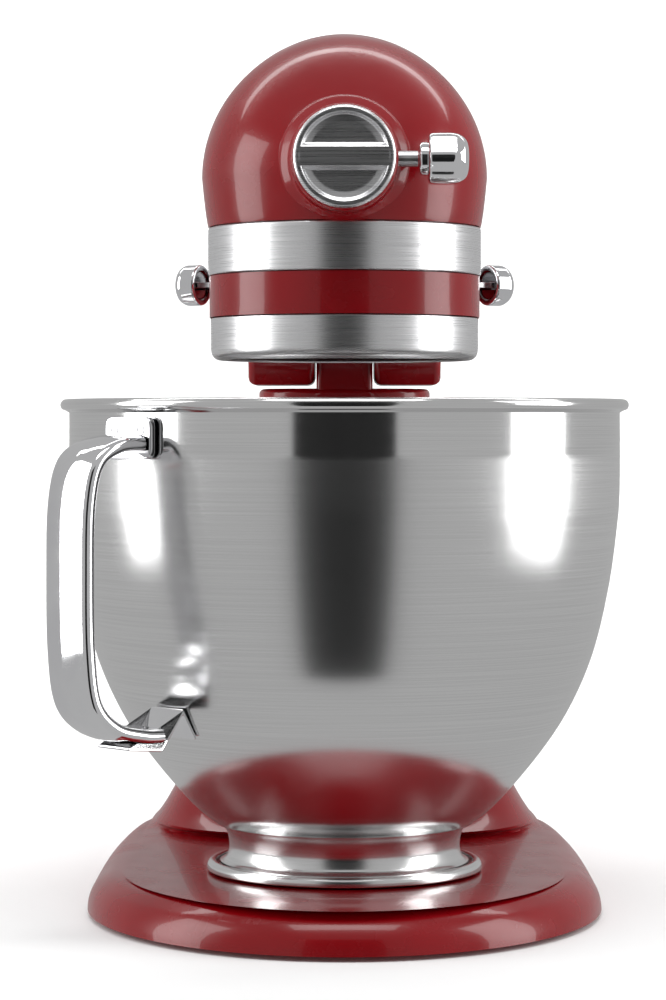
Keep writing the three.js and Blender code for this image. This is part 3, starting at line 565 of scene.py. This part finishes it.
def column_plan(z, half_width, front, rear):
    corner = 0.75
    middle, depth = (front + rear) / 2, (rear - front) / 2
    return [(half_width * signed_power(math.cos(a), corner),
             middle + depth * signed_power(math.sin(a), corner), z) for a in angles()]


def column_size(z):
    fall = (COLUMN_TOP - z) / (COLUMN_TOP - BASE_NECK_TOP)
    return 38 + 36.5 * fall ** 1.9, 121 - 35 * fall ** 1.4, 186 + 22 * fall ** 1.8


def base_casting():
    control = [
        base_ring(BASE_BOTTOM, 0), base_ring(5, 0.3), base_ring(8, 1.2), base_ring(10.6, 2.6),
        base_ring(13, 4.5), base_ring(14.9, 6.9), base_ring(16.5, 9.5), base_ring(17.5, 12.8),
        base_ring(18, 16), column_plan(18.6, 86, 64, 226), column_plan(22, 83, 72, 222),
        column_plan(28, 79, 80, 215), column_plan(BASE_NECK_TOP, 74.5, 86, 208)]
    spans = []
    for around in zip(*control):
        spans.append(smooth_path(around, 4))
    rings = [list(ring) for ring in zip(*spans)]
    piece("base_surface", loft(rings), "stand", "enamel", "base_casting")


def column_mesh():
    """The column, its top cut back by the slope of the shoulders and rounded over."""
    edge = 2.2
    tops = []
    for _, y, _ in column_plan(0, *column_size(COLUMN_TOP)):
        tops.append(COLUMN_TOP - 0.5 - max(0.0, y - SHOULDER_Y) * SHOULDER_FALL)
    rings = []
    for t in steps(0, 1, 40):
        rings.append(column_ring([mix(COLUMN_LOW, top - edge, t) for top in tops], 0))
    for turn in steps(0, math.pi / 2, 6)[1:]:
        lift = edge * math.sin(turn)
        rings.append(column_ring([top - edge + lift for top in tops], edge * (1 - math.cos(turn))))
    return loft(rings)


def column_ring(heights, inset):
    ring = []
    for i, z in enumerate(heights):
        half, front, rear = column_size(z)
        ring.append(column_plan(z, half - inset, front + inset, rear - inset)[i])
    return ring


def tongue_mesh():
    outline = rounded([(122, 190), (122, 239), (130, 243), (165, 243), (176, 238), (180, 228),
                       (180, 190)], 3, closed=True)
    return slab(outline, -TONGUE_HALF_WIDTH, TONGUE_HALF_WIDTH, edge=2.4)


def pedestal():
    piece("pedestal_surface", joined(column_mesh(), tongue_mesh()), "stand", "enamel", "pedestal")


def clamp_plate():
    low, top = CLAMP_LOW, CLAMP_LOW + 4
    profile = rounded([(53.2, low), (CLAMP_RADIUS, low), (CLAMP_RADIUS, low + 2.4),
                       (CLAMP_RADIUS - 1.4, top), (51, top), (51, low + 1.4)], 0.9)
    profile = [(0.5, low), *profile, (0.5, low + 1.4)]
    rim = lathe(profile, closed=True)
    lugs = []
    for quarter in range(4):
        lugs.append(clamp_lug(math.pi / 4 + quarter * math.pi / 2))
    piece("clamp_surface", joined(rim, *lugs), "stand", "bowl_steel", "bowl_clamp_plate")


def clamp_lug(azimuth):
    """A small bayonet lug that reaches in from the rim over the bowl's foot."""
    outline = rounded([(49.7, -5.5), (52.4, -5.5), (52.4, 5.5), (49.7, 5.5)], 0.8, closed=True)
    turned = [(r * math.cos(azimuth) - u * math.sin(azimuth),
               r * math.sin(azimuth) + u * math.cos(azimuth)) for r, u in outline]
    return slab(turned, CLAMP_LOW + 2.1, CLAMP_LOW + 3.5, edge=0.4, axis="Z")


# ---- head -----------------------------------------------------------------------------
def head_ring(z, half_width, shrink=1.0):
    half = half_width * shrink
    length = HEAD_LENGTH_BEHIND * (0.45 + 0.55 * shrink) - (HEAD_HALF_WIDTH - half_width)
    ring = []
    for a in angles():
        s, c = math.sin(a), math.cos(a)
        if s <= 0:
            ring.append((half * c, half * s, z))
        else:
            narrowing = math.sqrt(max(0.0, 1 - s ** 3.2))
            ring.append((half * narrowing * math.copysign(1, c), length * s, z))
    return ring


def ridge_factor(y):
    nose = max(0.0, 50 - y) ** 2 / 29000
    tail = max(0.0, y - 130) ** 2 / 24000
    return 1 - nose - tail


def dome_rings(offset, low):
    """Rings from the open lower edge to the crown, set in from the outside by offset."""
    rings = []
    for z in steps(low, DOME_CENTRE, 14)[:-1]:
        climb = max(0.0, (z - BAND_HIGH) / (DOME_CENTRE - BAND_HIGH))
        bulge = (DOME_HALF_WIDTH - HEAD_HALF_WIDTH) * climb ** 0.7
        rings.append(head_ring(z, HEAD_HALF_WIDTH + bulge - offset))
    for lift in steps(0, math.radians(89), 44):
        height = (DOME_HEIGHT - offset) * math.sin(lift)
        ring = head_ring(0, DOME_HALF_WIDTH - offset, math.cos(lift))
        rings.append([(x, y, DOME_CENTRE + height * ridge_factor(y)) for x, y, z in ring])
    return rings


def wall(low, high, half_width, thickness):
    """An upright wall that follows the head's plan."""
    outer = [head_ring(low, half_width), head_ring(high, half_width)]
    inner = [head_ring(high, half_width - thickness), head_ring(low, half_width - thickness)]
    count = len(outer[0])
    points = [p for ring in outer + inner for p in ring]
    return new_mesh(points, ring_faces(4, count, closed_rows=True))


def hub_boss():
    """The neck that carries the attachment hub, flared where it leaves the dome."""
    profile = rounded([(HUB_BORE, -30), (HUB_BORE, HUB_FRONT), (HUB_RADIUS, HUB_FRONT),
                       (HUB_RADIUS, -56), (25.5, -50), (26, -30)], 2.2, 6)
    return lathe(profile, "Y", (0, 0, HUB_Z), closed=True)


def bore_cutter(radius, low, high, axis, place, sides):
    """A rod that cuts a round bore between two distances along an axis."""
    return lathe([(AXIS_RADIUS, low), (radius, low), (radius, high), (AXIS_RADIUS, high)],
                 axis, place, sides)


def upper_housing():
    """The domed upper shell with its hub neck, and the cover that closes it behind."""
    bore = bore_cutter(HUB_BORE, -90, -20, "Y", (0, 0, HUB_Z), 64)
    brush_bore = bore_cutter(BRUSH_BORE, -80, 80, "X", (0, BRUSH_Y, MOTOR_Z), 64)
    screw_bore = bore_cutter(THUMBSCREW_BORE, 8, 40, "X", (0, THUMBSCREW_Y, HUB_Z), 48)
    dome = shell(dome_rings(0, BAND_HIGH + 0.3), dome_rings(SHELL_WALL, BAND_HIGH + 0.3))
    dome = carved(dome, bore, brush_bore)
    front = clipped(dome, REAR_COVER_Y - COVER_GAP, keep_rear=False)
    rear = clipped(dome, REAR_COVER_Y + COVER_GAP, keep_rear=True)
    skirt = wall(HEAD_PARTING, BAND_HIGH + 0.5, BAND_SEAT, SHELL_WALL)
    boss = carved(hub_boss(), screw_bore)
    front_skirt = clipped(skirt, REAR_COVER_Y - COVER_GAP, keep_rear=False)
    rear_skirt = clipped(skirt, REAR_COVER_Y + COVER_GAP, keep_rear=True)
    piece("upper_shell_surface", joined(front, front_skirt, boss), "head", "enamel",
          "head_upper_shell")
    piece("rear_cover_surface", joined(rear, rear_skirt), "head", "enamel", "rear_cover")


def cheek(side):
    """One of the two ears that straddle the tongue and take the hinge pin."""
    arc = [(HINGE_Y + 16 * math.cos(a), HINGE_Z + 16 * math.sin(a))
           for a in steps(-math.pi / 2, 0, 14)]
    outline = rounded([(118, 240.7), (118, 220), (124, 212)], 5)
    outline = outline[1:] + arc + [(203, 240.7), (118, 240.7)]
    low, high = sorted((side * (TONGUE_HALF_WIDTH + 0.7), side * 42))
    return slab(outline, low, high, edge=3.2)


def lever_slot(reach, left, right):
    """The cutter for the slot that a lever runs in, from just before the lever's rest place."""
    front, rear = LEVER_Y - 5, LEVER_Y + reach
    return slab([(front, LEVER_SLOT_LOW), (rear, LEVER_SLOT_LOW), (rear, LEVER_SLOT_HIGH),
                 (front, LEVER_SLOT_HIGH)], left, right)


def lower_housing():
    outside = [head_ring(z, HEAD_HALF_WIDTH - inset) for z, inset in smooth_path(
        [(224, 9), (226, 4), (231, 0.8), (236, 0.3)], 5)]
    outside += [head_ring(z, LOWER_WALL_HALF_WIDTH) for z in (245, 253.2)]
    body = loft(outside)
    hollow = loft([head_ring(251.8, BAND_SEAT - SHELL_WALL), head_ring(260, BAND_SEAT - SHELL_WALL)])
    rear_hollow = loft([head_ring(228, HEAD_HALF_WIDTH - 12), head_ring(236, HEAD_HALF_WIDTH - 4),
                        head_ring(258, HEAD_HALF_WIDTH - 5.2)])
    ring_seat = lathe([(0.01, 200), (RING_RADIUS + 1.7, 200), (RING_RADIUS + 1.7, RING_HIGH + 0.3),
                       (45.7, RING_HIGH + 0.3), (45.7, 250), (0.01, 250)])
    rear_trim = slab([(181, 200), (181, 228), (205, 238), (260, 243), (260, 200)], -80, 80)
    slot_half = TONGUE_HALF_WIDTH + 0.7
    slot = slab([(117.4, 200), (117.4, 260), (201, 260), (201, 200)], -slot_half, slot_half)
    front_keep = lathe([(0.01, 240), (RING_RADIUS + 3, 240), (RING_RADIUS + 3, 262),
                        (0.01, 262)])
    rear_hollow = carved(rear_hollow, front_keep)
    speed_slot = lever_slot(SPEED_SLOT_REACH, 44, 60)
    lock_slot = lever_slot(LOCK_SLOT_REACH, -60, -44)
    body = carved(body, ring_seat, rear_trim, hollow, rear_hollow, slot, speed_slot, lock_slot)
    lip = wall(253, HEAD_PARTING - 0.3, BAND_SEAT, SHELL_WALL)
    ears = [carved(cheek(side), hinge_bore()) for side in (-1, 1)]
    piece("lower_shell_surface", joined(body, lip, *ears), "head", "enamel", "head_lower_shell")


def hinge_bore():
    return bore_cutter(HINGE_BORE, -80, 80, "X", (0, HINGE_Y, HINGE_Z), 48)


def upper_band():
    half = HEAD_HALF_WIDTH + 0.2
    layers = [(BAND_LOW, half - 0.7), (BAND_LOW + 0.3, half - 0.2), (BAND_LOW + 0.8, half)]
    layers += [(BAND_LOW + BAND_HIGH - z, width) for z, width in reversed(layers)]
    inner = BAND_SEAT + 0.3
    rings = [head_ring(BAND_LOW, inner)] + [head_ring(z, width) for z, width in layers]
    rings.append(head_ring(BAND_HIGH, inner))
    points = [p for ring in rings for p in ring]
    mesh = new_mesh(points, ring_faces(len(rings), RING_COUNT, closed_rows=True))
    piece("upper_band_surface", mesh, "head", "satin_trim", "upper_trim_band")


def lower_ring():
    profile = smooth_path([(47.6, RING_LOW + 0.6), (48.6, RING_LOW), (50.4, RING_LOW + 0.3),
                           (52, RING_LOW + 1.5), (RING_RADIUS - 0.1, RING_LOW + 3.5),
                           (RING_RADIUS, RING_LOW + 6)], 5)
    profile += rounded([(RING_RADIUS, RING_LOW + 8), (RING_RADIUS, RING_HIGH),
                        (RING_RADIUS - 2.2, RING_HIGH), (RING_RADIUS - 2.2, RING_LOW + 4)], 0.5)
    piece("lower_ring_surface", lathe(profile, closed=True), "head", "satin_trim",
          "lower_trim_ring")


def hub_cover():
    """A dished disc with a raised rim and a blank grip bar with sloping sides."""
    disc = [(0.02, -70.3), (19.2, -70.3), (19.2, -73), (18.3, -73.8), (16.6, -73.8),
            (15.8, -72.2), (13, -71.6), (0.02, -71.9)]
    plate = lathe(rounded(disc, 0.5, 5), "Y", (0, 0, HUB_Z), closed=True)
    plug = lathe(rounded([(10.8, -57), (12.6, -57), (12.6, -71), (10.8, -71)], 0.4), "Y",
                 (0, 0, HUB_Z), closed=True)
    section = rounded([(-71, HUB_Z - 5.4), (-71.9, HUB_Z - 5.2), (-73.8, HUB_Z - 3.6),
                       (-73.8, HUB_Z + 3.6), (-71.9, HUB_Z + 5.2), (-71, HUB_Z + 5.4)], 0.4,
                      closed=True)
    bar = slab(section, -17, 17, edge=0.3)
    piece("hub_cover_surface", joined(plate, plug, bar), "hub_cap", "satin_trim", "hub_cover")


def thumbscrew():
    """A six-lobed knob with a domed end on a grooved collar."""
    def lobes(angle, along):
        return 1 + 0.05 * math.cos(6 * angle) * min(1, max(0, (46.6 - along) / 4))
    body = smooth_path([(2, 31.2), (7.4, 31.3), (9.2, 31.8), (9.7, 33), (9.8, 36), (9.8, 40),
                        (9.2, 43), (7.4, 45.4), (4.6, 46.5), (0.05, 46.8)], 5)
    knob = lathe([(0.05, 31.2), *body], "X", (0, THUMBSCREW_Y, HUB_Z), lobes=lobes)
    collar = lathe(rounded([(0.05, 27.9), (5.6, 27.9), (6.3, 28.8), (6.3, 31.5), (0.05, 31.5)],
                           0.5), "X", (0, THUMBSCREW_Y, HUB_Z))
    piece("thumbscrew_surface", joined(knob, collar), "screw_knob", "chrome", "thumbscrew_knob")


def lever_knob(name, body, node, side, sweep):
    """A short domed knob with a hollow inner face, pointing outwards and back by the sweep."""
    profile = rounded([(0.05, 1.4), (5.4, 1.4), (6.4, 0.4), (7.6, 0), (8.4, 0.8), (8.4, 7),
                       (7.2, 9.2), (4, 10.2), (0.05, 10.5)], 0.8, 5)
    inner_x = 58.4
    lean = math.radians(sweep)
    along = Vector((side * math.cos(lean), math.sin(lean), 0))
    across = Vector((-along.y, along.x, 0))
    origin = Vector((side * inner_x, LEVER_Y + (inner_x - 52) * math.tan(lean), 252.2))
    points = []
    for radius, out in profile:
        for a in angles():
            spoke = across * math.cos(a) + Vector((0, 0, 1)) * math.sin(a)
            points.append(tuple(origin + along * out + spoke * radius))
    mesh = new_mesh(points, ring_faces(len(profile), RING_COUNT))
    piece(name, mesh, body, "chrome", node)


# ---- bowl -----------------------------------------------------------------------------
def bowl_shell():
    outside = smooth_path([
        (50.7, BOWL_BOTTOM), (60.5, 45.5), (76.8, 64.7), (88.8, 83), (98.2, 105),
        (104.3, 130.7), (107.6, 155), (BOWL_RADIUS, 170), (BOWL_RADIUS, RIM_Z - 3)], 7)
    rim = [(BOWL_RADIUS + 1.2, RIM_Z - 2.2), (RIM_RADIUS - 0.6, RIM_Z - 1.5),
           (RIM_RADIUS, RIM_Z), (RIM_RADIUS - 0.4, RIM_Z + 1.4), (RIM_RADIUS - 1.7, RIM_Z + 2.3),
           (BOWL_RADIUS - 0.4, RIM_Z + 2.3), (BOWL_RADIUS - BOWL_WALL, RIM_Z + 1)]
    inside = [(r - BOWL_WALL, z + BOWL_WALL * 0.5) for r, z in reversed(outside[:-1])]
    floor = [(0.05, BOWL_BOTTOM + BOWL_WALL)]
    profile = [(0.05, BOWL_BOTTOM), (49, BOWL_BOTTOM), *outside, *smooth_path(rim, 4), *inside,
               *floor]
    piece("bowl_surface", lathe(profile, closed=True), "bowl", "bowl_steel", "bowl_shell")


def bowl_foot():
    low = 20.7
    outer = smooth_path([(49.3, low + 1.8), (47, low + 3), (45.9, low + 6), (45.8, low + 9),
                         (46.6, low + 13), (48.4, BOWL_BOTTOM - 0.3)], 5)
    profile = [(44, low), (49.3, low), *outer, (45.6, BOWL_BOTTOM - 0.3), (44, low + 9)]
    piece("foot_surface", lathe(profile, closed=True), "bowl", "bowl_steel", "bowl_foot")


def on_handle(radius, sideways, z):
    """A point given in the handle's upright plane, turned to where the handle stands."""
    c, s = math.cos(HANDLE_AZIMUTH), math.sin(HANDLE_AZIMUTH)
    return (radius * c - sideways * s, radius * s + sideways * c, z)


def handle_grip():
    path = smooth_path([
        (112.9, 188), (124, 187.2), (134.2, 181), (138.5, 166), (139.3, 140), (138.8, 112),
        (135.6, 93), (126, 83.4), (113, 80), (104, 79.4)], 9)
    section = rounded([(-12, -2.5), (-6, -3), (0, -3.2), (6, -3), (12, -2.5), (12, 2.2),
                       (6, 3.2), (0, 3.6), (-6, 3.2), (-12, 2.2)], 2, 5, closed=True)
    rings = []
    for i, (radius, z) in enumerate(path):
        before, after = path[max(i - 1, 0)], path[min(i + 1, len(path) - 1)]
        run = Vector((after[0] - before[0], after[1] - before[1])).normalized()
        outward = Vector((-run.y, run.x))
        rings.append([on_handle(radius + outward.x * v, u, z + outward.y * v)
                      for u, v in section])
    count = len(section)
    points = [p for ring in rings for p in ring]
    faces = ring_faces(len(rings), count)
    faces.append(tuple(range(count)))
    faces.append(tuple(range(len(points) - count, len(points))))
    piece("handle_surface", new_mesh(points, faces), "bowl", "chrome", "bowl_handle")


def turned_to_handle(mesh):
    """Moves a mesh built as (sideways, radius, z) to where the handle stands."""
    for vert in mesh.vertices:
        radius, sideways, z = vert.co.y / MM - BOWL_AXIS_Y, vert.co.x / MM, vert.co.z / MM
        vert.co = row(on_handle(radius, sideways, z))
    return mesh


def weld_mark(sideways, out, z):
    """A shallow ring left by a spot weld, facing out from the bowl."""
    profile = [(2.3, out), (2.1, out + 0.25), (1.5, out + 0.25), (1.2, out), (0.05, out - 0.05)]
    return lathe(smooth_path(profile, 3), "Y", (sideways, 0, z), 40)


def brackets():
    plate = rounded([(-13, 182), (13, 182), (13, 198), (-13, 198)], 4, 6, closed=True)
    upper = slab(plate, 109.2, 111.9, edge=0.7, axis="Y")
    marks = [weld_mark(sideways, 111.9, 193) for sideways in (-7.5, 7.5)]
    piece("upper_bracket_surface", turned_to_handle(joined(upper, *marks)), "bowl", "chrome",
          "handle_upper_bracket")
    strap = rounded([(86.5, 76.6), (92.5, 86.6), (102.6, 73.4), (119, 74.9), (119, 76.2),
                     (103.2, 74.9), (92.4, 88.9), (85.7, 77.6)], 0.9, 4, closed=True)
    lower = slab(strap, -9, 9, edge=0.4)
    piece("lower_bracket_surface", turned_to_handle(lower), "bowl", "chrome",
          "handle_lower_bracket")


# ---- floor, light and camera ----------------------------------------------------------
def paper():
    f = Finish("paper")
    f.colours(f.noise(2), (0.86, 0.86, 0.86), (0.90, 0.90, 0.90))
    f.spread(f.noise(30), 0.8, 0.9)
    return f.material


def floor():
    """A pale sweep: flat under the mixer, then curving up behind it."""
    half, near, bend, back, rise = 3.0, -3.0, 1.1, 1.9, 2.6
    curve = [(near, 0.0), (bend, 0.0)]
    curve += [(bend + (back - bend) * math.sin(a), (back - bend) * (1 - math.cos(a)))
              for a in steps(0, math.pi / 2, 16)[1:]]
    curve.append((back, rise))
    bm = bmesh.new()
    rows = [[bm.verts.new((side * half, y, z)) for side in (-1, 1)] for y, z in curve]
    for low, high in zip(rows, rows[1:]):
        bm.faces.new((low[0], low[1], high[1], high[0]))
    mesh = bpy.data.meshes.new("sweep")
    bm.to_mesh(mesh)
    bm.free()
    mesh.shade_smooth()
    sweep = bpy.data.objects.new("sweep", mesh)
    bpy.context.scene.collection.objects.link(sweep)
    mesh.materials.append(paper())
    sweep.visible_glossy = False


def softbox(name, place, target, width, height, power):
    """A rectangular light at place that faces target, in metres and watts."""
    data = bpy.data.lights.new(name, "AREA")
    data.shape = "RECTANGLE"
    data.size = width
    data.size_y = height
    data.energy = power
    lamp = bpy.data.objects.new(name, data)
    bpy.context.scene.collection.objects.link(lamp)
    lamp.location = place
    aim = Vector(target) - Vector(place)
    lamp.rotation_euler = aim.to_track_quat("-Z", "Y").to_euler()


def dark_card():
    """A black studio flag round the camera, seen only in the reflections of the bowl."""
    half, near, low, high = 0.52, -1.5, -1.2, 1.0
    bm = bmesh.new()
    corners = [(-half, near, low), (half, near, low), (half, near, high), (-half, near, high)]
    bm.faces.new([bm.verts.new(corner) for corner in corners])
    mesh = bpy.data.meshes.new("flag")
    bm.to_mesh(mesh)
    bm.free()
    f = Finish("flag_cloth")
    f.colours(f.noise(4), (0.004, 0.004, 0.004), (0.008, 0.008, 0.008))
    f.spread(f.noise(30), 0.85, 0.95)
    mesh.materials.append(f.material)
    card = bpy.data.objects.new("flag", mesh)
    bpy.context.scene.collection.objects.link(card)
    card.visible_camera = False
    card.visible_diffuse = False
    card.visible_shadow = False


def lights():
    world = bpy.data.worlds.new("studio")
    world.use_nodes = True
    background = world.node_tree.nodes["Background"]
    background.inputs["Color"].default_value = (1, 1, 1, 1)
    background.inputs["Strength"].default_value = 0.45
    bpy.context.scene.world = world
    middle = (0, 0, 0.2)
    softbox("left_strip", (-1.35, -0.2, 0.5), middle, 0.7, 1.3, 13)
    softbox("right_strip", (1.35, -0.2, 0.5), middle, 0.7, 1.3, 13)
    softbox("overhead", (0, -0.6, 1.35), middle, 1.0, 0.45, 7)
    softbox("backdrop_light", (0, 0.75, 1.5), (0, 1.8, 0.3), 2.6, 0.6, 26)
    bpy.context.scene.view_settings.view_transform = "Standard"


def camera():
    """A long lens a little above the rim of the bowl, straight in front of the mixer."""
    data = bpy.data.cameras.new("camera")
    data.lens = 109.04
    data.sensor_fit = "VERTICAL"
    data.sensor_height = 36
    view = bpy.data.objects.new("camera", data)
    bpy.context.scene.collection.objects.link(view)
    view.location = row((0, -1200, 196.7))
    view.rotation_euler = (math.radians(90 - 1.513), 0, math.radians(0.2175))
    bpy.context.scene.camera = view


def build():
    finish_frame_nodes()
    base_casting()
    pedestal()
    clamp_plate()
    upper_housing()
    lower_housing()
    upper_band()
    lower_ring()
    hub_cover()
    thumbscrew()
    lever_knob("lock_knob_surface", "lock", "lock_knob", -1, 26)
    lever_knob("speed_knob_surface", "speed", "speed_knob", 1, 33)
    bowl_shell()
    bowl_foot()
    handle_grip()
    brackets()
    floor()
    dark_card()
    lights()
    camera()


build()
